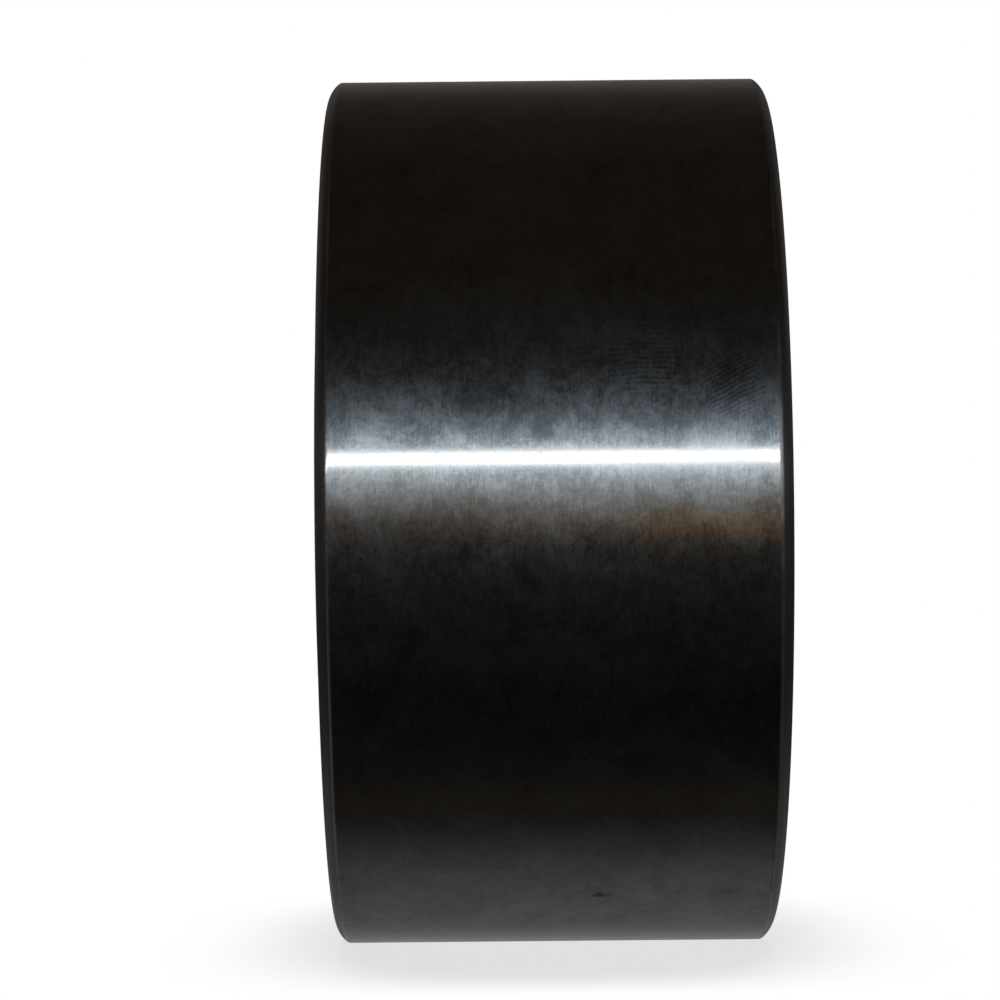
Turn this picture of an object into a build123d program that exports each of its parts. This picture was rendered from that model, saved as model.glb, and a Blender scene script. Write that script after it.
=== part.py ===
from build123d import *
from math import acos, degrees
import os

# Yoke-type cam follower: a thick-walled outer ring, whose outside is the tread that rolls on a cam, turns on
# two caged rows of cylindrical rollers round a bored inner ring. A side plate is pressed on each end of the
# inner ring. A polymer washer between plate and outer ring takes side thrust, and its rim fills the gap
# between them with a sealing lip.
#
# All sizes are in millimetres. The axis of rotation is Y, Z is up and the origin is the centre of the tread.
# "Left" is the -Y end and "right" is the +Y end.

# ---- driving dimensions ----
tread_diameter = 80.0
tread_width = 40.0
bore_diameter = 30.0
overall_width = 41.0  # across the side plates, which stand proud of the outer ring

inner_raceway_diameter = 40.0
plate_seat_diameter = 36.0
side_plate_diameter = 60.0
side_plate_thickness = 4.0

roller_diameter = 7.0
roller_length = 11.8
rollers_per_row = 16

# ---- running clearances ----
raceway_clearance = 0.02  # radial, between a roller and each raceway
pocket_clearance = 0.10  # all round a roller in its cage pocket
thrust_clearance = 0.05  # axial, between seal washer and outer ring
washer_clearance = 0.10  # radial, between seal washer and inner ring
lip_clearance = 0.03  # radial, between seal lip and outer ring

# ---- tread corner: a turned radius, cut short where the tread was ground after it ----
corner_radius = 2.4
grinding_stock = 0.4  # what grinding took off the tread's radius

# ---- edges ----
edge_break = 0.3
bore_chamfer = 0.6
plate_chamfer = 0.5
recess_chamfer = 0.6
roller_end_radius = 0.4

# ---- grease passages ----
grease_groove_width = 4.0
grease_groove_depth = 0.8
grease_hole_diameter = 2.5

# ---- seal washer section ----
washer_thickness = 1.0
rim_thickness = 0.8
rim_gap = 0.4  # between the rim and the outer ring's recess, which the lip closes
rim_depth = 0.9  # from the outer ring's end face down to the rim's end
lip_length = 0.8
lip_land = 0.2  # the straight part of the lip, at its widest

# ---- cage section ----
cage_thickness = 3.0  # radial
cage_end_rim = 1.4  # axial, beyond the pockets
cage_spacing = 1.0  # between the two cages, where the grease holes open

# ---- worked-out sizes ----
tread_radius = tread_diameter / 2
tread_end = tread_width / 2
plate_outer_face = overall_width / 2
bore_radius = bore_diameter / 2
inner_raceway_radius = inner_raceway_diameter / 2
plate_seat_radius = plate_seat_diameter / 2
side_plate_radius = side_plate_diameter / 2
roller_radius = roller_diameter / 2

pitch_radius = inner_raceway_radius + raceway_clearance + roller_radius
outer_raceway_radius = pitch_radius + roller_radius + raceway_clearance

plate_inner_face = plate_outer_face - side_plate_thickness
washer_inner_face = plate_inner_face - washer_thickness
recess_floor = washer_inner_face - thrust_clearance
rim_radius = side_plate_radius + rim_thickness
rim_end = tread_end - rim_depth
recess_radius = rim_radius + rim_gap
lip_radius = recess_radius - lip_clearance

pocket_radius = roller_radius + pocket_clearance
pocket_length = roller_length + 2 * pocket_clearance
cage_length = pocket_length + 2 * cage_end_rim
row_centre = (cage_spacing + cage_length) / 2
roller_step = 360 / rollers_per_row

# Each side: its name, which way it faces along Y, and the angle of its first roller. The right row is turned
# half a step, so that the rollers of one row stand over the gaps of the other.
sides = [("left", -1, 0.0), ("right", 1, roller_step / 2)]


def across(y):
    """The plane square to the axis at y, facing +Y."""
    return Plane(origin=(0, y, 0), x_dir=(1, 0, 0), z_dir=(0, 1, 0))


def finish(piece, name):
    """Labels a finished piece and writes it to parts/name.step."""
    piece.part.label = name
    export_step(piece.part, f"parts/{name}.step")


os.makedirs("parts", exist_ok=True)

# Ring sections are drawn in the XY plane, where X is the radius and Y is the place along the axis.

# ---- outer ring: tread outside, raceway inside, a recess in each end for the plate and seal ----
corner_centre = (tread_radius + grinding_stock - corner_radius, tread_end - corner_radius)
corner_cut_angle = degrees(acos((corner_radius - grinding_stock) / corner_radius))

with BuildPart() as outer_ring:
    with BuildSketch(Plane.XY):
        with BuildLine():
            corner = CenterArc(
                center=corner_centre,
                radius=corner_radius,
                start_angle=corner_cut_angle,
                arc_size=90 - corner_cut_angle,
            )
            Polyline(
                corner @ 0,
                (tread_radius, 0),
                (outer_raceway_radius, 0),
                (outer_raceway_radius, recess_floor - edge_break),
                (outer_raceway_radius + edge_break, recess_floor),
                (recess_radius, recess_floor),
                (recess_radius, tread_end - recess_chamfer),
                (recess_radius + recess_chamfer, tread_end),
                corner @ 1,
            )
        make_face()
        mirror(about=Plane.XZ)
    revolve(axis=Axis.Y)
finish(outer_ring, "outer_ring")

# ---- inner ring: bore with a grease groove, raceway in the middle, a plate seat at each end ----
with BuildPart() as inner_ring:
    with BuildSketch(Plane.XY):
        with BuildLine():
            Polyline(
                (inner_raceway_radius, 0),
                (bore_radius + grease_groove_depth, 0),
                (bore_radius + grease_groove_depth, grease_groove_width / 2 - edge_break),
                (bore_radius, grease_groove_width / 2 + edge_break),
                (bore_radius, plate_outer_face - bore_chamfer),
                (bore_radius + bore_chamfer, plate_outer_face),
                (plate_seat_radius - edge_break, plate_outer_face),
                (plate_seat_radius, plate_outer_face - edge_break),
                (plate_seat_radius, plate_inner_face),
                (inner_raceway_radius - edge_break, plate_inner_face),
                (inner_raceway_radius, plate_inner_face - edge_break),
                close=True,
            )
        make_face()
        mirror(about=Plane.XZ)
    revolve(axis=Axis.Y)
    # One drilling right through, along Z, makes the two grease holes from the groove to the raceway.
    with BuildSketch(Plane.XY):
        Circle(grease_hole_diameter / 2)
    extrude(amount=inner_raceway_radius, both=True, mode=Mode.SUBTRACT)
finish(inner_ring, "inner_ring")

for side, facing, first_angle in sides:
    # ---- side plate: a flat ring on the inner ring's seat, chamfered on its outer face ----
    outward = Axis((0, 0, 0), (0, facing, 0))
    with BuildPart() as side_plate:
        with BuildSketch(across(facing * plate_inner_face)):
            Circle(side_plate_radius)
            Circle(plate_seat_radius, mode=Mode.SUBTRACT)
        extrude(amount=facing * side_plate_thickness)
        outer_face = side_plate.faces().sort_by(outward)[-1]
        seat_edge, rim_edge = outer_face.edges().sort_by(SortBy.RADIUS)
        chamfer(seat_edge, length=edge_break)
        chamfer(rim_edge, length=plate_chamfer)
    finish(side_plate, f"side_plate_{side}")

    # ---- seal washer: a thrust disc, a rim round the plate's edge and a flared lip at the rim's end ----
    with BuildPart() as seal_washer:
        with BuildSketch(Plane.XY):
            with BuildLine():
                Polyline(
                    (inner_raceway_radius + washer_clearance, facing * washer_inner_face),
                    (rim_radius, facing * washer_inner_face),
                    (rim_radius, facing * (rim_end - lip_length)),
                    (lip_radius, facing * (rim_end - lip_land)),
                    (lip_radius, facing * rim_end),
                    (side_plate_radius, facing * rim_end),
                    (side_plate_radius, facing * plate_inner_face),
                    (inner_raceway_radius + washer_clearance, facing * plate_inner_face),
                    close=True,
                )
            make_face()
        revolve(axis=Axis.Y)
    finish(seal_washer, f"seal_washer_{side}")

    # ---- cage: a ring with round-walled pockets, whose edges hold the rollers in ----
    with BuildPart() as roller_cage:
        with BuildSketch(across(facing * row_centre)):
            Circle(pitch_radius + cage_thickness / 2)
            Circle(pitch_radius - cage_thickness / 2, mode=Mode.SUBTRACT)
        extrude(amount=cage_length / 2, both=True)
        chamfer(roller_cage.edges().filter_by(GeomType.CIRCLE), length=edge_break)
        with BuildSketch(across(facing * row_centre)):
            with PolarLocations(pitch_radius, rollers_per_row, start_angle=first_angle):
                Circle(pocket_radius)
        extrude(amount=pocket_length / 2, both=True, mode=Mode.SUBTRACT)
    finish(roller_cage, f"roller_cage_{side}")

    # ---- rollers: each a cylinder with rounded ends, in its own pocket ----
    for number in range(rollers_per_row):
        with BuildPart() as roller:
            with BuildSketch(across(facing * row_centre)):
                with PolarLocations(pitch_radius, 1, start_angle=first_angle + number * roller_step):
                    Circle(roller_radius)
            extrude(amount=roller_length / 2, both=True)
            fillet(roller.edges().filter_by(GeomType.CIRCLE), radius=roller_end_radius)
        finish(roller, f"roller_{side}_{number + 1:02d}")
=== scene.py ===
import math
from functools import reduce

import bmesh
import bpy
from mathutils import Matrix, Vector


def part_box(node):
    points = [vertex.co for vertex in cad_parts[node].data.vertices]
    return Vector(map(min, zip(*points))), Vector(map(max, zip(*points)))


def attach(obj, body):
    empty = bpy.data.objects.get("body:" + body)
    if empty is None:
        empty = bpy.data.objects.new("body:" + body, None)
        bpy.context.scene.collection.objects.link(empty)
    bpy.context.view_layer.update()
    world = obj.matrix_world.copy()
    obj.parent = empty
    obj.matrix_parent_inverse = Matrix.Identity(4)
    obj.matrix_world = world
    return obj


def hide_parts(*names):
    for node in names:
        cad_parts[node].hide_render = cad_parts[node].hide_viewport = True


# A yoke-type cam follower in a plain pale studio. The rings that can be seen are turned again here as fine,
# smoothly rounded lathe work on the CAD's own sizes; cages and rollers are the CAD nodes with new materials.
# Lengths are in metres, angles in degrees unless a name says otherwise.

MM = 0.001
SAME = 0.01 * MM  # two lengths closer than this are the same
SIDES = (("left", -1), ("right", 1))

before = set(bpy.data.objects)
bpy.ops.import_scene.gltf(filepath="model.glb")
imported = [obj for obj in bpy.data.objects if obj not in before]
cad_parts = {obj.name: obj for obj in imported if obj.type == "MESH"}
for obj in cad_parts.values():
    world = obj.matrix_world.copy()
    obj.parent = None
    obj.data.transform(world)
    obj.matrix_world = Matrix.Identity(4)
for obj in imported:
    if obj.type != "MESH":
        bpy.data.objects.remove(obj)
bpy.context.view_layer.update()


# ---------------------------------------------------------------- sizes, from the frame
def ring_points(node):
    """(radius, place along the axis) of each of a ring node's vertices."""
    return [(math.hypot(v.co.x, v.co.z), v.co.y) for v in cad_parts[node].data.vertices]


def radii_at(node, along):
    """The smallest and largest radius of a node's vertices in the plane square to the axis at along."""
    near = [radius for radius, y in ring_points(node) if abs(y - along) < SAME]
    return min(near), max(near)


def reach_at(node, radius):
    """How far along the axis a node's wall of that radius goes."""
    return max(y for r, y in ring_points(node) if abs(r - radius) < SAME)


tread_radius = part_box("outer_ring")[1].x
tread_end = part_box("outer_ring")[1].y
kink_end = reach_at("outer_ring", tread_radius)  # where the ground tread meets the turned corner
recess_mouth_radius, corner_centre_radius = radii_at("outer_ring", tread_end)
outer_raceway_radius = min(radius for radius, _ in ring_points("outer_ring"))
corner_drop = tread_radius - corner_centre_radius
corner_band = tread_end - kink_end
corner_radius = (corner_drop**2 + corner_band**2) / (2 * corner_band)

ring_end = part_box("inner_ring")[1].y
inner_raceway_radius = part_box("inner_ring")[1].x
bore_radius = min(radius for radius, _ in ring_points("inner_ring"))
bore_mouth_radius, ring_face_radius = radii_at("inner_ring", ring_end)
bore_reach = reach_at("inner_ring", bore_radius)

plate_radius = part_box("side_plate_right")[1].x
plate_inner, plate_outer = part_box("side_plate_right")[0].y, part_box("side_plate_right")[1].y
plate_seat_radius = min(radius for radius, _ in ring_points("side_plate_right"))

seal_inner, seal_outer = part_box("seal_washer_right")[0].y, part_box("seal_washer_right")[1].y
lip_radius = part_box("seal_washer_right")[1].x
seal_bore_radius, rim_radius = radii_at("seal_washer_right", seal_inner)

# Small sizes that the frame doesn't give on their own.
LIP_CLEARANCE = 0.03 * MM
THRUST_CLEARANCE = 0.05 * MM
EDGE_BREAK = 0.3 * MM
PLATE_CHAMFER = 0.5 * MM
LIP_LENGTH = 0.8 * MM
LIP_LAND = 0.2 * MM
GREASE_GROOVE_DEPTH = 0.8 * MM
GREASE_GROOVE_WIDTH = 4.0 * MM
GREASE_HOLE_RADIUS = 1.25 * MM

recess_radius = lip_radius + LIP_CLEARANCE
recess_floor = seal_inner - THRUST_CLEARANCE
recess_chamfer = recess_mouth_radius - recess_radius


# ---------------------------------------------------------------- lathe work
TURN_STEPS = 256
ARC_STEPS = 5
CORNER_STEPS = 10
SHARP = 0.04 * MM  # rounding of a crisp machined edge
SOFT = 0.12 * MM  # rounding of a tumbled or moulded edge
KINK = 0.55 * MM  # rounding where the tread's grinding meets the turned corner
HOLD = 0.06 * MM  # a narrow strip beside each rounded edge, which keeps the shading of the wide face flat


def rounded_outline(corners):
    """Rounds a closed outline of (radius, along, rounding, finish of the side that follows) corners.

    Returns its points and the finish of the side after each point."""
    points, finishes = [], []
    for before, corner, after in zip(corners[-1:] + corners[:-1], corners, corners[1:] + corners[:1]):
        here, rounding, finish = Vector(corner[:2]), corner[2], corner[3]
        back, ahead = Vector(before[:2]) - here, Vector(after[:2]) - here
        if rounding == 0:
            points.append(here)
            finishes.append(finish)
            continue
        half = back.angle(ahead) / 2
        cut = rounding / math.tan(half)
        towards_back, towards_ahead = back.normalized(), ahead.normalized()
        centre = here + (towards_back + towards_ahead).normalized() * (rounding / math.sin(half))
        start = (here + towards_back * cut - centre).normalized()
        stop = (here + towards_ahead * cut - centre).normalized()
        if back.length > 4 * (cut + HOLD):
            points.append(here + towards_back * (cut + HOLD))
            finishes.append(before[3])
        for step in range(ARC_STEPS + 1):
            points.append(centre + start.slerp(stop, step / ARC_STEPS) * rounding)
            finishes.append(finish)
        if ahead.length > 4 * (cut + HOLD):
            points.append(here + towards_ahead * (cut + HOLD))
            finishes.append(finish)
    return points, finishes


def both_ends(half, middle):
    """A closed outline from its right half, which starts and ends on sides that cross the middle plane.

    middle is the finish of the side that crosses between the first corner and its mirror image."""
    finishes = [middle] + [corner[3] for corner in half[:-1]]
    mirrored = [(r, -along, rounding, finish) for (r, along, rounding, _), finish in zip(half, finishes)]
    return half + mirrored[::-1]


def facing(corners, sign):
    """Corners of the right end, moved to the end that sign gives."""
    return [(radius, sign * along, rounding, finish) for radius, along, rounding, finish in corners]


def lathe(name, corners, finishes):
    """Turns an outline about the axis. finishes maps the names on its sides to materials."""
    points, sides = rounded_outline(corners)
    order = list(finishes)
    shape = bmesh.new()
    hoops = []
    for step in range(TURN_STEPS):
        angle = 2 * math.pi * step / TURN_STEPS
        cos, sin = math.cos(angle), math.sin(angle)
        hoops.append([shape.verts.new((r * cos, along, r * sin)) for r, along in points])
    for step, hoop in enumerate(hoops):
        following = hoops[(step + 1) % TURN_STEPS]
        for k, side in enumerate(sides):
            n = (k + 1) % len(points)
            face = shape.faces.new((hoop[k], hoop[n], following[n], following[k]))
            face.material_index = order.index(side)
            face.smooth = True
    bmesh.ops.recalc_face_normals(shape, faces=shape.faces)
    mesh = bpy.data.meshes.new(name)
    shape.to_mesh(mesh)
    shape.free()
    for finish in order:
        mesh.materials.append(finishes[finish])
    piece = bpy.data.objects.new(name, mesh)
    bpy.context.scene.collection.objects.link(piece)
    return piece


def stand_for(piece, node, body):
    """The piece takes the CAD node's place on its body, and the node is hidden."""
    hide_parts(node)
    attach(piece, body)


def drill_grease_holes(ring):
    """Cuts the two radial grease holes, in line with Z, from the bore's groove to the raceway."""
    bpy.ops.mesh.primitive_cylinder_add(
        vertices=48, radius=GREASE_HOLE_RADIUS, depth=2.2 * inner_raceway_radius, location=(0, 0, 0)
    )
    drill = bpy.context.object
    cut = ring.modifiers.new("grease_holes", "BOOLEAN")
    cut.operation = "DIFFERENCE"
    cut.solver = "EXACT"
    cut.object = drill
    weigh = ring.modifiers.new("flat_shading_near_holes", "WEIGHTED_NORMAL")
    weigh.keep_sharp = True
    for modifier in (cut.name, weigh.name):
        with bpy.context.temp_override(object=ring, active_object=ring):
            bpy.ops.object.modifier_apply(modifier=modifier)
    bpy.data.objects.remove(drill)


# ---------------------------------------------------------------- node trees
COLOUR_A, COLOUR_B, COLOUR_RESULT = 6, 7, 2  # sockets of a mix node when it mixes colours
ROUND_THE_AXIS = 0.25  # the anisotropic rotation with which marks run round the axis, in turns


class Graph:
    """A node tree under construction. Any value can be a number, a tuple or another node's output."""

    def __init__(self, tree):
        self.tree = tree
        tree.nodes.clear()

    def node(self, kind, inputs=None, **settings):
        made = self.tree.nodes.new(kind)
        for name, value in settings.items():
            setattr(made, name, value)
        for name, value in (inputs or {}).items():
            self.feed(made.inputs[name], value)
        return made

    def feed(self, socket, value):
        if isinstance(value, bpy.types.NodeSocket):
            self.tree.links.new(value, socket)
        else:
            socket.default_value = value

    def math(self, operation, *values):
        made = self.tree.nodes.new("ShaderNodeMath")
        made.operation = operation
        for socket, value in zip(made.inputs, values):
            self.feed(socket, value)
        return made.outputs[0]

    def add(self, a, b):
        return self.math("ADD", a, b)

    def times(self, a, b):
        return self.math("MULTIPLY", a, b)

    def minus(self, a, b):
        return self.math("SUBTRACT", a, b)

    def total(self, *values):
        return reduce(self.add, values)

    def distance(self, a, b):
        """The length of the vector (a, b)."""
        return self.math("SQRT", self.add(self.times(a, a), self.times(b, b)))

    def ramp(self, value, low, high, to_low=0.0, to_high=1.0):
        """Smoothly from to_low, at value low, to to_high, at value high. low may be above high."""
        if low > high:
            low, high, to_low, to_high = high, low, to_high, to_low
        made = self.node("ShaderNodeMapRange", {"Value": value, "From Min": low, "From Max": high},
                         interpolation_type="SMOOTHSTEP")
        made.inputs["To Min"].default_value = to_low
        made.inputs["To Max"].default_value = to_high
        return made.outputs["Result"]

    def bell(self, value, centre, spread):
        """A Gaussian hump, 1 at the centre."""
        off = self.math("DIVIDE", self.minus(value, centre), spread)
        return self.math("EXPONENT", self.times(self.times(off, off), -0.5))

    def combine(self, x, y, z):
        return self.node("ShaderNodeCombineXYZ", {"X": x, "Y": y, "Z": z}).outputs[0]

    def scaled(self, vector, factor):
        """A vector or colour times a number."""
        made = self.node("ShaderNodeVectorMath", operation="SCALE")
        self.feed(made.inputs[0], vector)
        self.feed(made.inputs["Scale"], factor)
        return made.outputs[0]

    def vector_sum(self, a, b):
        made = self.node("ShaderNodeVectorMath", operation="ADD")
        self.feed(made.inputs[0], a)
        self.feed(made.inputs[1], b)
        return made.outputs[0]

    def mix(self, factor, a, b):
        """Colour a at factor 0, b at factor 1."""
        made = self.node("ShaderNodeMix", data_type="RGBA")
        self.feed(made.inputs["Factor"], factor)
        self.feed(made.inputs[COLOUR_A], a)
        self.feed(made.inputs[COLOUR_B], b)
        return made.outputs[COLOUR_RESULT]

    def noise(self, vector, scale=1.0, detail=2.0, roughness=0.5, distortion=0.0):
        """Noise between about 0 and 1."""
        inputs = {"Vector": vector, "Scale": scale, "Detail": detail, "Roughness": roughness}
        inputs["Distortion"] = distortion
        return self.node("ShaderNodeTexNoise", inputs).outputs["Fac"]

    def around_zero(self, noise, strength):
        """Noise spread evenly about zero, up to strength either way."""
        return self.times(self.minus(noise, 0.5), 2 * strength)


class RingGraph(Graph):
    """A material's tree for a piece turned about the Y axis, with cylindrical coordinates ready to use."""

    def __init__(self, material):
        super().__init__(material.node_tree)
        self.place = self.node("ShaderNodeTexCoord").outputs["Object"]
        split = self.node("ShaderNodeSeparateXYZ", {0: self.place})
        x, self.along, z = split.outputs
        self.radius = self.distance(x, z)
        self.angle = self.math("ARCTAN2", z, x)  # in radians
        self.round_x = self.math("DIVIDE", x, self.radius)
        self.round_z = self.math("DIVIDE", z, self.radius)
        # Rises along the axis on a cylinder and with the radius on a face, so it always runs across the lay.
        self.across_lay = self.add(self.times(self.radius, 0.8), self.times(self.along, 1.9))

    def lay(self, width, lengths_per_turn, detail=2.0):
        """Noise drawn out round the axis, like the marks of turning or grinding.

        width is that of one mark."""
        stretch = lengths_per_turn / (2 * math.pi)
        round_x, round_z = self.times(self.round_x, stretch), self.times(self.round_z, stretch)
        where = self.combine(round_x, round_z, self.times(self.across_lay, 1 / width))
        return self.noise(where, detail=detail)

    def blotches(self, size, detail=4.0, distortion=0.4):
        """Noise in soft patches of about that size."""
        return self.noise(self.place, scale=1 / size, detail=detail, roughness=0.55, distortion=distortion)

    def relief(self, height, depth):
        """A bumped normal. depth is how deep the marks are where height goes from 1 to 0."""
        return self.node("ShaderNodeBump", {"Height": height, "Strength": 1.0, "Distance": depth}).outputs[0]

    def metal(self, colour, roughness, relief, anisotropic, grazing=1.0):
        """Steel whose marks run round the axis, so that highlights are drawn out across them.

        grazing is how much of the light it gives back at a grazing angle."""
        tangent = self.node("ShaderNodeTangent", direction_type="RADIAL", axis="Y").outputs[0]
        return self.node("ShaderNodeBsdfPrincipled", {
            "Base Color": colour,
            "Metallic": 1.0,
            "Roughness": roughness,
            "Specular Tint": (grazing, grazing, grazing, 1),
            "Anisotropic": anisotropic,
            "Anisotropic Rotation": ROUND_THE_AXIS,
            "Tangent": tangent,
            "Normal": relief,
        }).outputs[0]

    def finish(self, surface):
        self.node("ShaderNodeOutputMaterial", {"Surface": surface})


def new_material(name):
    material = bpy.data.materials.new(name)
    material.use_nodes = True
    return material


# ---------------------------------------------------------------- tread
# A mark's along is its distance from the middle plane, and its angle is above level in front.
TREAD_GRAZING = 0.5  # how much light the blackened steel gives back at a grazing angle, against a bare metal
# The second colour of the steel's pair and of the film's pair below is a painted warm, brownish reflection.
STEEL_TONE, STEEL_PAINTED_WARM_REFLECTION = (0.083, 0.081, 0.079), (0.118, 0.092, 0.068)
STEEL_ROUGHNESS, STEEL_ANISOTROPY = 0.178, 0.99
FILM_TONE, FILM_PAINTED_WARM_REFLECTION = (0.080, 0.081, 0.082), (0.112, 0.090, 0.070)
FILM_ROUGHNESS, FILM_ANISOTROPY = 0.308, 0.67

# Fingerprints: (along, angle, width, height, tilt, ridge spacing, strength).
PRINTS = [
    (7.8 * MM, 18.6, 8.0 * MM, 8.5 * MM, 1.0, 0.44 * MM, 1.0),
    (15.1 * MM, 15.0, 8.0 * MM, 7.0 * MM, 27.0, 0.38 * MM, 1.0),
    (2.6 * MM, -4.0, 5.0 * MM, 4.0 * MM, 40.0, 0.40 * MM, 0.5),
]
RIDGE_BOW = 12.0  # how much a fingerprint's ridges bend, in metres off level per square metre out
# Wipe marks: (tilt, width, length).
WIPES = [(38.0, 0.16 * MM, 3.2 * MM), (-28.0, 0.14 * MM, 2.6 * MM), (72.0, 0.18 * MM, 2.2 * MM)]


def band(g, angle, spread):
    """A soft band straight across the tread at an angle, 1 in its middle."""
    return g.bell(g.angle, math.radians(angle), math.radians(spread))


def tilted(g, u, v, tilt):
    """The point (u, v) measured along and across a line that is turned by tilt."""
    cos, sin = math.cos(math.radians(tilt)), math.sin(math.radians(tilt))
    return g.add(g.times(u, cos), g.times(v, sin)), g.minus(g.times(v, cos), g.times(u, sin))


def fingerprint(g, along, angle, width, height, tilt, spacing):
    """A faint print of fingertip ridges, between -1 and 1 and fading to 0 at its oval edge."""
    from_middle = g.times(g.minus(g.angle, math.radians(angle)), tread_radius)
    level, upright = tilted(g, g.minus(g.along, along), from_middle, tilt)
    reach = g.distance(g.math("DIVIDE", level, width / 2), g.math("DIVIDE", upright, height / 2))
    bowed = g.add(upright, g.times(g.times(level, level), RIDGE_BOW))
    waver = g.around_zero(g.noise(g.place, scale=1 / (2.5 * MM), detail=1.0), 0.25 * MM)
    ridges = g.math("SINE", g.times(g.add(bowed, waver), 2 * math.pi / spacing))
    worn = g.ramp(g.noise(g.place, scale=1 / (1.6 * MM), detail=2.0), 0.30, 0.52)
    return g.times(g.times(ridges, worn), g.ramp(reach, 1.0, 0.5))


def fingerprints(g):
    """All the fingerprints together."""
    marks = [g.times(fingerprint(g, *shape), strength) for *shape, strength in PRINTS]
    return g.total(*marks)


def stray_scratches(g, tilt, width, length, rarity=0.68):
    """Sparse fine scratches that cross the lay at a tilt, 0 to 1. rarity is above 0.5 and below 0.9."""
    along_scratch, across_scratch = tilted(g, g.along, g.times(g.angle, tread_radius), tilt)
    where = g.combine(g.times(along_scratch, 1 / length), g.times(across_scratch, 1 / width), tilt)
    return g.ramp(g.noise(where, detail=1.0), rarity, rarity + 0.1)


def wipe_marks(g):
    """Patches of fine scratches where the tread was wiped, and short flecks across its front."""
    wipes = g.total(*[stray_scratches(g, *shape) for shape in WIPES])
    wipes = g.times(wipes, g.ramp(g.blotches(9 * MM, detail=1.0), 0.42, 0.62))
    flecks = stray_scratches(g, 40.0, 0.26 * MM, 0.9 * MM, rarity=0.70)
    return g.add(wipes, g.times(flecks, band(g, 0.0, 13.0)))


def spot(g, along, angle, length, width):
    """A small oval mark, 1 in its middle. length is along the axis and width is round it."""
    u = g.math("DIVIDE", g.minus(g.along, along), length / 2)
    v = g.math("DIVIDE", g.minus(g.angle, math.radians(angle)), width / 2 / tread_radius)
    waver = g.around_zero(g.noise(g.place, scale=2 / width, detail=2.0), 0.7)
    return g.ramp(g.add(g.distance(u, v), waver), 1.0, 0.3)


def tread_haze(g, film, hair, wipes, smudge):
    """How much of the tread's reflection is the oil film's, 0 to 1."""
    grain = g.noise(g.place, scale=1 / (0.5 * MM), detail=3.0, roughness=0.8)
    contrast = g.add(1.45, g.times(band(g, 14.0, 9.0), 0.75))
    haze = g.total(
        0.5,
        g.times(g.around_zero(film, 1.0), contrast),
        g.around_zero(grain, 0.60),
        g.around_zero(hair, 0.65),
        g.times(fingerprints(g), 0.32),
        g.times(wipes, 0.45),
        g.times(smudge, -0.50),
    )
    return g.ramp(haze, -0.22, 1.22, 0.10, 0.84)


def tread_strength(g, film, hair, streak, wipes, smudge):
    """How strongly the tread reflects, about 1."""
    # Painted sheen: the reflection is made stronger in the middle of the tread, a little below the white
    # line.
    painted_sheen = g.times(g.bell(g.along, -0.5 * MM, 6.5 * MM), band(g, 1.0, 3.2))
    # Painted shade: the reflection is made weaker towards the tread's left end, a little below the white
    # line.
    painted_dim_reflection = g.times(g.ramp(g.along, -4 * MM, -14 * MM), band(g, -1.6, 1.7))
    nick = spot(g, along=3.9 * MM, angle=-57.6, length=2.2 * MM, width=1.3 * MM)
    raised = g.total(
        1.0,
        g.around_zero(hair, 0.10),
        g.around_zero(streak, 0.06),
        g.around_zero(film, 0.70),
        g.times(wipes, 0.25),
        g.times(painted_sheen, 0.22),
    )
    dulled = g.total(g.times(nick, 0.62), g.times(smudge, 0.22), g.times(painted_dim_reflection, 0.28))
    return g.times(raised, g.minus(1.0, dulled))


def tread_steel():
    """The tread: blackened bearing steel, ground round and under a thin, handled film of oil.

    Two reflections are mixed: the ground steel's own, and the film's haze, which draws a light's glow out
    round the follower. The film's marks change how much haze there is, so they show best in the glow."""
    material = new_material("tread_ground_black")
    g = RingGraph(material)
    hair = g.lay(0.15 * MM, 190.0)
    streak = g.lay(0.8 * MM, 7.0, detail=3.0)
    film = g.noise(g.place, scale=1 / (5.5 * MM), detail=6.0, roughness=0.88, distortion=0.3)
    wipes = wipe_marks(g)
    smudge = spot(g, along=-0.9 * MM, angle=9.7, length=3.6 * MM, width=3.2 * MM)
    haze = tread_haze(g, film, hair, wipes, smudge)
    strength = tread_strength(g, film, hair, streak, wipes, smudge)
    # Painted reflection: a warm, brownish patch on the tread's right, in the glow below the white line.
    painted_warm_reflection = g.times(g.ramp(g.along, 2 * MM, 11 * MM), band(g, -2.2, 1.3))
    relief = g.relief(streak, 0.0002 * MM)

    def reflection(tone, warm_reflected_tone, roughness, anisotropic):
        colour = g.mix(painted_warm_reflection, (*tone, 1), (*warm_reflected_tone, 1))
        return g.metal(g.scaled(colour, strength), roughness, relief, anisotropic, TREAD_GRAZING)

    steel = reflection(STEEL_TONE, STEEL_PAINTED_WARM_REFLECTION, STEEL_ROUGHNESS, STEEL_ANISOTROPY)
    hazy = reflection(FILM_TONE, FILM_PAINTED_WARM_REFLECTION, FILM_ROUGHNESS, FILM_ANISOTROPY)
    g.finish(g.node("ShaderNodeMixShader", {0: haze, 1: steel, 2: hazy}).outputs[0])
    return material


# ---------------------------------------------------------------- turned steel
# Edges lightened by rubbed wear on the faces, and a painted glint on the corner's kink.
EDGE_WEAR_AND_GLINT_REACH = 0.28 * MM
EDGE_WEAR_AND_GLINT_TONE = (0.42, 0.41, 0.40)


def edge_wear_and_glint(g, radius, along, reach):
    """1 on the ring edge at that radius and distance from the middle plane, fading out within reach."""
    off_radius = g.minus(g.radius, radius)
    off_along = g.minus(g.math("ABSOLUTE", g.along), along)
    patchy = g.add(0.55, g.around_zero(g.blotches(2.5 * MM), 0.9))
    patchy = g.math("MINIMUM", g.math("MAXIMUM", patchy, 0.0), 1.0)
    return g.times(g.ramp(g.distance(off_radius, off_along), reach, reach / 4), patchy)


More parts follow.
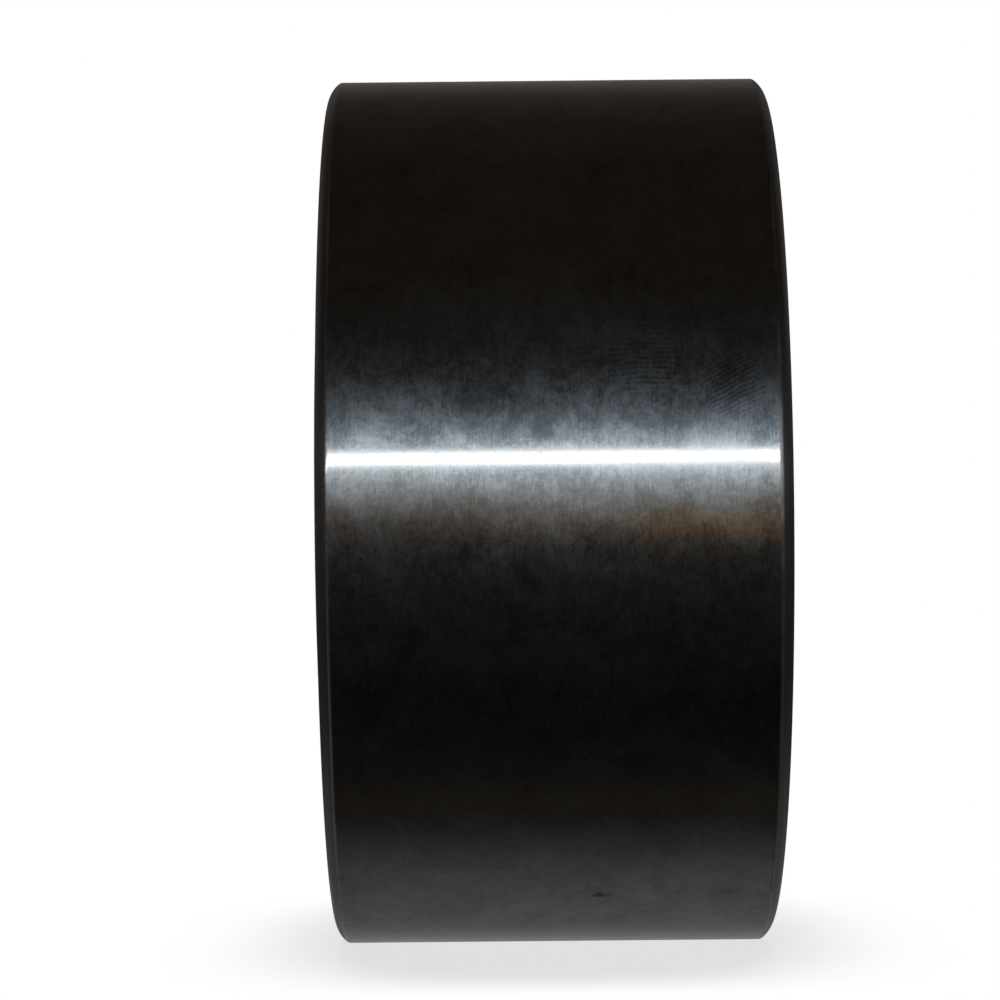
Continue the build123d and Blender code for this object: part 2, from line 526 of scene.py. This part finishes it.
def turned_steel(
    name, dark, bright, roughness, mark_width,
    edges=(), wear_and_glint=0.7, bump_depth=0.004 * MM, anisotropic=0.75, grazing=1.0,
):
    """Steel with concentric turning marks. dark and bright are the lowest and highest of its colour.

    edges lists the (radius, along) of each edge that is lightened, by rubbed wear on the faces and as a
    painted glint at the corner's kink; the argument after edges says how bright."""
    material = new_material(name)
    g = RingGraph(material)
    coarse = g.lay(mark_width, 9.0, detail=3.0)
    fine = g.lay(mark_width / 4, 16.0)
    stain = g.blotches(5 * MM, detail=5.0, distortion=0.7)
    blend = g.total(g.times(coarse, 0.45), g.times(fine, 0.2), g.times(stain, 0.35))
    colour = g.mix(g.ramp(blend, 0.3, 0.7), (*dark, 1), (*bright, 1))
    for radius, along in edges:
        brightened_edge = g.times(edge_wear_and_glint(g, radius, along, EDGE_WEAR_AND_GLINT_REACH), wear_and_glint)
        colour = g.mix(brightened_edge, colour, (*EDGE_WEAR_AND_GLINT_TONE, 1))
    uneven = g.total(roughness, g.around_zero(stain, 0.06), g.around_zero(coarse, 0.05))
    relief = g.relief(g.add(coarse, g.times(fine, 0.4)), bump_depth)
    g.finish(g.metal(colour, uneven, relief, anisotropic, grazing))
    return material


# ---------------------------------------------------------------- polymer
def moulded_polymer(name, dark, bright, roughness, grain):
    """Moulded polyamide: fine grain, soft cloudiness and a few rubbed, paler places."""
    material = new_material(name)
    g = RingGraph(material)
    cloud = g.blotches(3 * MM, detail=3.0)
    speckle = g.blotches(grain, detail=2.0)
    rub = g.lay(0.3 * MM, 12.0)
    blend = g.total(g.times(cloud, 0.5), g.times(speckle, 0.3), g.times(rub, 0.2))
    colour = g.mix(g.ramp(blend, 0.32, 0.68), (*dark, 1), (*bright, 1))
    surface = g.node("ShaderNodeBsdfPrincipled", {
        "Base Color": colour,
        "Roughness": g.add(roughness, g.around_zero(cloud, 0.1)),
        "Normal": g.relief(speckle, 0.01 * MM),
    })
    g.finish(surface.outputs[0])
    return material


# ---------------------------------------------------------------- materials
BLACK_DARK, BLACK_BRIGHT = (0.026, 0.024, 0.023), (0.042, 0.038, 0.035)
FACE_DARK, FACE_BRIGHT = (0.098, 0.098, 0.102), (0.182, 0.181, 0.181)
RING_DARK, RING_BRIGHT = (0.20, 0.20, 0.20), (0.34, 0.335, 0.33)
GROUND_DARK, GROUND_BRIGHT = (0.36, 0.355, 0.35), (0.52, 0.515, 0.505)
ROLLER_DARK, ROLLER_BRIGHT = (0.46, 0.46, 0.46), (0.60, 0.60, 0.59)
SEAL_DARK, SEAL_BRIGHT = (0.012, 0.012, 0.013), (0.035, 0.035, 0.038)
CAGE_DARK, CAGE_BRIGHT = (0.42, 0.36, 0.24), (0.62, 0.55, 0.40)

tread = tread_steel()
# On the corner, the lightened kink edge is a painted glint.
corner = turned_steel(
    "corner_turned_black", BLACK_DARK, BLACK_BRIGHT, roughness=0.40, mark_width=0.25 * MM,
    edges=[(tread_radius, kink_end)], wear_and_glint=0.14, grazing=0.60,
)
end_face = turned_steel(
    "face_ground_black", FACE_DARK, FACE_BRIGHT, roughness=0.40, mark_width=0.35 * MM,
    edges=[(recess_mouth_radius, tread_end), (recess_radius, tread_end - recess_chamfer)],
)
raceway = turned_steel(
    "raceway_ground_bright", GROUND_DARK, GROUND_BRIGHT, roughness=0.26, mark_width=0.12 * MM,
    bump_depth=0.001 * MM,
)
bore_steel = turned_steel(
    "bore_ground_bright", GROUND_DARK, GROUND_BRIGHT, roughness=0.32, mark_width=0.32 * MM,
    bump_depth=0.001 * MM,
)
ring_face = turned_steel(
    "ring_face_ground", RING_DARK, RING_BRIGHT, roughness=0.38, mark_width=0.3 * MM,
    edges=[(bore_mouth_radius, ring_end), (ring_face_radius, ring_end)],
)
plate_steel = turned_steel(
    "plate_turned_black", FACE_DARK, FACE_BRIGHT, roughness=0.44, mark_width=0.5 * MM,
    edges=[(plate_radius - PLATE_CHAMFER, plate_outer)],
)
roller_steel = turned_steel(
    "roller_superfinished", ROLLER_DARK, ROLLER_BRIGHT, roughness=0.2, mark_width=0.1 * MM,
    bump_depth=0.0005 * MM, anisotropic=0.4,
)
seal_polymer = moulded_polymer(
    "seal_moulded_black", SEAL_DARK, SEAL_BRIGHT, roughness=0.5, grain=0.35 * MM
)
cage_polymer = moulded_polymer(
    "cage_moulded_natural", CAGE_DARK, CAGE_BRIGHT, roughness=0.45, grain=0.4 * MM
)


# ---------------------------------------------------------------- outer ring
def corner_arc():
    """The turned corner, from the kink at the tread's edge round to the end face."""
    centre = Vector((corner_centre_radius, tread_end - corner_radius))
    start = math.atan2(kink_end - centre.y, tread_radius - centre.x)
    arc = []
    for step in range(CORNER_STEPS + 1):
        turn = start + (math.pi / 2 - start) * step / CORNER_STEPS
        radius = centre.x + corner_radius * math.cos(turn)
        along = centre.y + corner_radius * math.sin(turn)
        arc.append((radius, along, KINK if step == 0 else 0, "corner" if step < CORNER_STEPS else "face"))
    return arc


outer_half = corner_arc() + [
    (corner_centre_radius - HOLD, tread_end, 0, "face"),
    (recess_mouth_radius, tread_end, SHARP, "face"),
    (recess_radius, tread_end - recess_chamfer, SHARP, "recess"),
    (recess_radius, recess_floor, SHARP, "recess"),
    (outer_raceway_radius + EDGE_BREAK, recess_floor, SHARP, "recess"),
    (outer_raceway_radius, recess_floor - EDGE_BREAK, SHARP, "raceway"),
]
outer_ring = lathe(
    "ground_outer_ring", both_ends(outer_half, "tread"),
    {"tread": tread, "corner": corner, "face": end_face, "recess": end_face, "raceway": raceway},
)
stand_for(outer_ring, "outer_ring", "outer_ring")

# ---------------------------------------------------------------- inner ring
groove_floor = bore_radius + GREASE_GROOVE_DEPTH
inner_half = [
    (inner_raceway_radius, plate_inner - EDGE_BREAK, SHARP, "seat"),
    (inner_raceway_radius - EDGE_BREAK, plate_inner, SHARP, "seat"),
    (plate_seat_radius, plate_inner, SHARP, "seat"),
    (plate_seat_radius, ring_end - EDGE_BREAK, SHARP, "face"),
    (ring_face_radius, ring_end, SHARP, "face"),
    (bore_mouth_radius, ring_end, SHARP, "face"),
    (bore_radius, bore_reach, SHARP, "bore"),
    (bore_radius, GREASE_GROOVE_WIDTH / 2 + EDGE_BREAK, SHARP, "groove"),
    (groove_floor, GREASE_GROOVE_WIDTH / 2 - EDGE_BREAK, SHARP, "groove"),
]
inner_ring = lathe(
    "ground_inner_ring", both_ends(inner_half, "raceway"),
    {"raceway": raceway, "seat": end_face, "face": ring_face, "bore": bore_steel, "groove": end_face},
)
drill_grease_holes(inner_ring)
stand_for(inner_ring, "inner_ring", "inner_assembly")

# ---------------------------------------------------------------- side plates and seals
plate_corners = [
    (plate_seat_radius, plate_inner, SHARP, "steel"),
    (plate_radius, plate_inner, SHARP, "steel"),
    (plate_radius, plate_outer - PLATE_CHAMFER, SHARP, "steel"),
    (plate_radius - PLATE_CHAMFER, plate_outer, SHARP, "steel"),
    (plate_seat_radius + EDGE_BREAK, plate_outer, SHARP, "steel"),
    (plate_seat_radius, plate_outer - EDGE_BREAK, SHARP, "steel"),
]
seal_corners = [
    (seal_bore_radius, seal_inner, SHARP, "polymer"),
    (rim_radius, seal_inner, SOFT, "polymer"),
    (rim_radius, seal_outer - LIP_LENGTH, SOFT, "polymer"),
    (lip_radius, seal_outer - LIP_LAND, SHARP, "polymer"),
    (lip_radius, seal_outer, SHARP, "polymer"),
    (plate_radius, seal_outer, SHARP, "polymer"),
    (plate_radius, plate_inner, SHARP, "polymer"),
    (seal_bore_radius, plate_inner, SHARP, "polymer"),
]
for side, sign in SIDES:
    plate = lathe(f"turned_side_plate_{side}", facing(plate_corners, sign), {"steel": plate_steel})
    stand_for(plate, f"side_plate_{side}", "inner_assembly")
    seal = lathe(f"moulded_seal_{side}", facing(seal_corners, sign), {"polymer": seal_polymer})
    stand_for(seal, f"seal_washer_{side}", "inner_assembly")

# ---------------------------------------------------------------- cages and rollers, as the CAD has them
for name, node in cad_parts.items():
    if name.startswith("roller_cage"):
        node.data.materials[0] = cage_polymer
    elif name.startswith("roller_"):
        node.data.materials[0] = roller_steel


# ---------------------------------------------------------------- studio light
# Angles are above level in front, round the axis.
KEY_ANGLE = 13.55  # of the strip light whose reflection is the white line on the tread
KEY_CORE, KEY_CORE_HALF = 34.0, 1.30
KEY_GLOW, KEY_GLOW_ABOVE, KEY_GLOW_BELOW = 2.6, 9.8, 11.3
KEY_FADE_ABOVE, KEY_FADE_BELOW = 2.1, 2.7  # how abruptly the glow ends
CORE_TONE = (0.98, 1.0, 1.01)
GLOW_COOL, GLOW_WARM = (0.74, 1.0, 1.22), (1.13, 1.0, 0.85)
BACK_TONE, BACK_SPREAD = (0.95, 1.0, 1.05), 5.0
WARM_TONE, WARM_LIGHT, WARM_ANGLE, WARM_SPREAD = (1.0, 0.62, 0.30), 0.25, -3.0, 3.0
ENDS_TONE = (0.97, 1.0, 1.03)
END_BOX_LIGHT, END_BOX_ELEVATION, END_BOX_SPREAD = 1.2, 70.0, 8.0
END_FLOOR_LIGHT = 0.22
WHITE = (1, 1, 1, 1)

# The dim room: (angle, brightness, warmth), from straight behind, under the follower, in front, overhead and
# straight behind again. A warmth of 0 is white, and above it is redder.
ROOM = [
    (-180, 0.132, 0.06),
    (-150, 0.091, 0.11),
    (-90, 0.061, 0.16),
    (-81, 0.076, 0.26),
    (-71, 0.036, 0.10),
    (-50, 0.012, 0.24),
    (-26, 0.041, 0.15),
    (-13, 0.070, 0.09),
    (-4, 0.021, -0.10),
    (12, 0.058, 0.03),
    (42, 0.081, 0.09),
    (62, 0.054, 0.31),
    (80, 0.055, 0.36),
    (102, 0.063, 0.33),
    (120, 0.096, 0.31),
    (135, 0.186, 0.21),
    (150, 0.251, 0.11),
    (180, 0.132, 0.06),
]


def room_light(g, angle):
    """The dim room's light."""
    blend = g.node("ShaderNodeValToRGB", {"Fac": g.add(g.math("DIVIDE", angle, 360.0), 0.5)})
    stops = blend.color_ramp.elements
    while len(stops) < len(ROOM):
        stops.new(0.5)
    for stop, (place, brightness, warmth) in zip(stops, ROOM):
        stop.position = place / 360 + 0.5
        stop.color = (brightness * (1 + warmth), brightness, brightness * (1 - warmth), 1)
    return blend.outputs["Color"]


def strip_light(g, angle):
    """The strip light in front, and its glow on the wall round it, which is cool above and warm below."""
    off = g.minus(angle, KEY_ANGLE)
    core = g.times(g.ramp(g.math("ABSOLUTE", off), 1.3 * KEY_CORE_HALF, 0.7 * KEY_CORE_HALF), KEY_CORE)
    above = g.math("DIVIDE", g.math("MAXIMUM", off, 0.0), KEY_GLOW_ABOVE)
    below = g.math("DIVIDE", g.math("MAXIMUM", g.times(off, -1.0), 0.0), KEY_GLOW_BELOW)
    fading = g.add(g.math("POWER", above, KEY_FADE_ABOVE), g.math("POWER", below, KEY_FADE_BELOW))
    glow = g.times(g.math("EXPONENT", g.times(fading, -1.0)), KEY_GLOW)
    tint = g.mix(g.ramp(angle, -2.0, 13.0), (*GLOW_WARM, 1), (*GLOW_COOL, 1))
    return g.vector_sum(g.scaled(tint, glow), g.scaled(CORE_TONE, core))


def end_lights(g, z):
    """High softboxes and a paler floor. z is the direction's height, from -1 to 1."""
    elevation = g.times(g.math("ARCSINE", z), 180 / math.pi)
    softbox = g.times(g.bell(elevation, END_BOX_ELEVATION, END_BOX_SPREAD), END_BOX_LIGHT)
    floor = g.times(g.ramp(z, -0.1, -0.9), END_FLOOR_LIGHT)
    dimness = g.ramp(z, 0.1, -0.1, 0.07, 0.19)
    return g.scaled(ENDS_TONE, g.total(softbox, floor, dimness))


def studio_group():
    """A node group that gives the studio's brightness in each direction, for everything but the camera.

    The room is dark near the plane square to the follower's axis, apart from one strip light parallel to the
    axis with a soft glow round it. Towards the ends there are high, wide softboxes and a paler floor.
    across is 0 for a direction in that plane and 1 for one along the axis."""
    tree = bpy.data.node_groups.new("studio_light", "ShaderNodeTree")
    tree.interface.new_socket("Direction", in_out="INPUT", socket_type="NodeSocketVector")
    tree.interface.new_socket("Light", in_out="OUTPUT", socket_type="NodeSocketVector")
    g = Graph(tree)
    direction = g.node("NodeGroupInput").outputs["Direction"]
    x, y, z = g.node("ShaderNodeSeparateXYZ", {0: direction}).outputs
    angle = g.times(g.math("ARCTAN2", z, x), 180 / math.pi)
    folded_angle = g.times(g.math("ARCTAN2", z, g.math("ABSOLUTE", x)), 180 / math.pi)
    across = g.math("ABSOLUTE", y)
    in_front = g.ramp(x, -0.02, 0.02)
    beside_strip = g.ramp(across, 0.80, 0.70)

    strip = g.scaled(strip_light(g, angle), g.times(in_front, beside_strip))
    # A much weaker light behind, towards the ends only.
    behind = g.times(g.minus(1.0, in_front), g.times(g.ramp(across, 0.42, 0.55), beside_strip))
    back = g.scaled(BACK_TONE, g.times(g.bell(folded_angle, KEY_ANGLE, BACK_SPREAD), behind))
    # A warm reflection, low in front.
    warmth = g.times(g.bell(angle, WARM_ANGLE, WARM_SPREAD), WARM_LIGHT)
    warm = g.scaled(WARM_TONE, g.times(warmth, in_front))
    ends = g.scaled(end_lights(g, z), g.ramp(across, 0.42, 0.66))

    front = g.vector_sum(room_light(g, angle), strip)
    light = g.vector_sum(front, g.vector_sum(warm, g.vector_sum(back, ends)))
    g.node("NodeGroupOutput", {"Light": light})
    return tree


STUDIO = studio_group()


def studio_world():
    """White to the camera, the studio's light to everything else."""
    world = bpy.data.worlds.new("studio")
    bpy.context.scene.world = world
    world.use_nodes = True
    g = Graph(world.node_tree)
    direction = g.node("ShaderNodeTexCoord").outputs["Generated"]
    studio = g.node("ShaderNodeGroup", node_tree=STUDIO)
    g.feed(studio.inputs["Direction"], direction)
    seen = g.node("ShaderNodeLightPath").outputs["Is Camera Ray"]
    colour = g.mix(seen, studio.outputs["Light"], WHITE)
    backdrop = g.node("ShaderNodeBackground", {"Color": colour})
    g.node("ShaderNodeOutputWorld", {"Surface": backdrop.outputs[0]})


# ---------------------------------------------------------------- floor and softbox
FLOOR_RADIUS = 60 * tread_radius
PATCH_TONE = (0.31, 0.302, 0.298)
PAINTED_CONTACT_SHADOW_TONE = (0.74, 0.74, 0.75, 1)
CONTACT_SHADOW_REACH = 0.45 * tread_radius


def floor_patch(g):
    """How bright the floor is in reflections: a patch under the follower, brightest beside the contact.

    reach is the distance from the contact line, in tread radii."""
    place = g.node("ShaderNodeNewGeometry").outputs["Position"]
    x, y, _ = g.node("ShaderNodeSeparateXYZ", {0: place}).outputs
    reach = g.math("DIVIDE", g.math("ABSOLUTE", x), tread_radius)
    patch = g.times(g.ramp(reach, 0.82, 0.5), g.ramp(reach, 0.0, 0.2, 0.35, 1.0))
    patch = g.times(patch, g.add(1.0, g.times(g.bell(reach, 0.33, 0.12), 1.55)))
    return g.times(patch, g.ramp(g.math("ABSOLUTE", y), 2.2 * tread_radius, 1.2 * tread_radius))


def floor_material():
    """White with a painted soft contact shadow to the camera, and only the bright patch to everything else.
    """
    material = new_material("pale_floor")
    material.cycles.emission_sampling = "NONE"
    g = Graph(material.node_tree)
    mirrored = g.node("ShaderNodeEmission", {"Color": (*PATCH_TONE, 1), "Strength": floor_patch(g)})
    clear = g.node("ShaderNodeBsdfTransparent")
    unseen = g.node("ShaderNodeAddShader", {0: mirrored.outputs[0], 1: clear.outputs[0]})
    # Painted shadow: the glowing floor is darkened where it is near the follower.
    nearness = g.node("ShaderNodeAmbientOcclusion", {"Distance": CONTACT_SHADOW_REACH}, samples=16)
    shade = g.mix(g.ramp(nearness.outputs["AO"], 0.35, 1.0), PAINTED_CONTACT_SHADOW_TONE, WHITE)
    seen = g.node("ShaderNodeEmission", {"Color": shade, "Strength": 1.0})
    camera_ray = g.node("ShaderNodeLightPath").outputs["Is Camera Ray"]
    surface = g.node("ShaderNodeMixShader", {0: camera_ray, 1: unseen.outputs[0], 2: seen.outputs[0]})
    g.node("ShaderNodeOutputMaterial", {"Surface": surface.outputs[0]})
    return material


def pale_floor():
    """A plain pale floor, which the follower stands on."""
    bpy.ops.mesh.primitive_circle_add(
        vertices=96, radius=FLOOR_RADIUS, fill_type="NGON", location=(0, 0, -tread_radius)
    )
    floor = bpy.context.object
    floor.name = "pale_floor"
    floor.data.materials.append(floor_material())


SOFTBOX_SIZE = 12 * tread_radius
SOFTBOX_HEIGHT = 14 * tread_radius
SOFTBOX_POWER = 4.0


def overhead_softbox():
    """A large soft light from above, which lights the dull polymer parts and isn't mirrored in the steel."""
    light = bpy.data.lights.new("overhead_softbox", "AREA")
    light.shape = "RECTANGLE"
    light.size = SOFTBOX_SIZE
    light.size_y = SOFTBOX_SIZE
    light.energy = SOFTBOX_POWER
    holder = bpy.data.objects.new("overhead_softbox", light)
    bpy.context.scene.collection.objects.link(holder)
    holder.location = (0, 0, SOFTBOX_HEIGHT)
    holder.visible_glossy = False
    holder.visible_camera = False


# ---------------------------------------------------------------- camera
CAMERA_DISTANCE = 8.733 * tread_radius  # from the follower's axis
CAMERA_OFFSET = -0.0924 * tread_radius  # along the axis
AIM_RIGHT, AIM_UP = -0.0027, 0.0030  # of the distance
CAMERA_ROLL = 0.555
FOCAL_LENGTH = 134.35  # in millimetres, as Blender has it, and so is the sensor's width
SENSOR_WIDTH = 36.0


def camera():
    """Square on to the axis and level with it, as the follower stands on its tread."""
    data = bpy.data.cameras.new("camera")
    data.lens = FOCAL_LENGTH
    data.sensor_width = SENSOR_WIDTH
    data.clip_start = 0.1 * tread_radius
    data.clip_end = 200 * tread_radius
    holder = bpy.data.objects.new("camera", data)
    bpy.context.scene.collection.objects.link(holder)
    place = Vector((CAMERA_DISTANCE, CAMERA_OFFSET, 0))
    target = Vector((0, CAMERA_OFFSET + AIM_RIGHT * CAMERA_DISTANCE, AIM_UP * CAMERA_DISTANCE))
    aim = (target - place).to_track_quat("-Z", "Y").to_matrix().to_4x4()
    roll = Matrix.Rotation(math.radians(-CAMERA_ROLL), 4, "Z")
    holder.matrix_world = Matrix.Translation(place) @ aim @ roll
    bpy.context.scene.camera = holder


studio_world()
pale_floor()
overhead_softbox()
camera()
bpy.context.scene.view_settings.view_transform = "Standard"
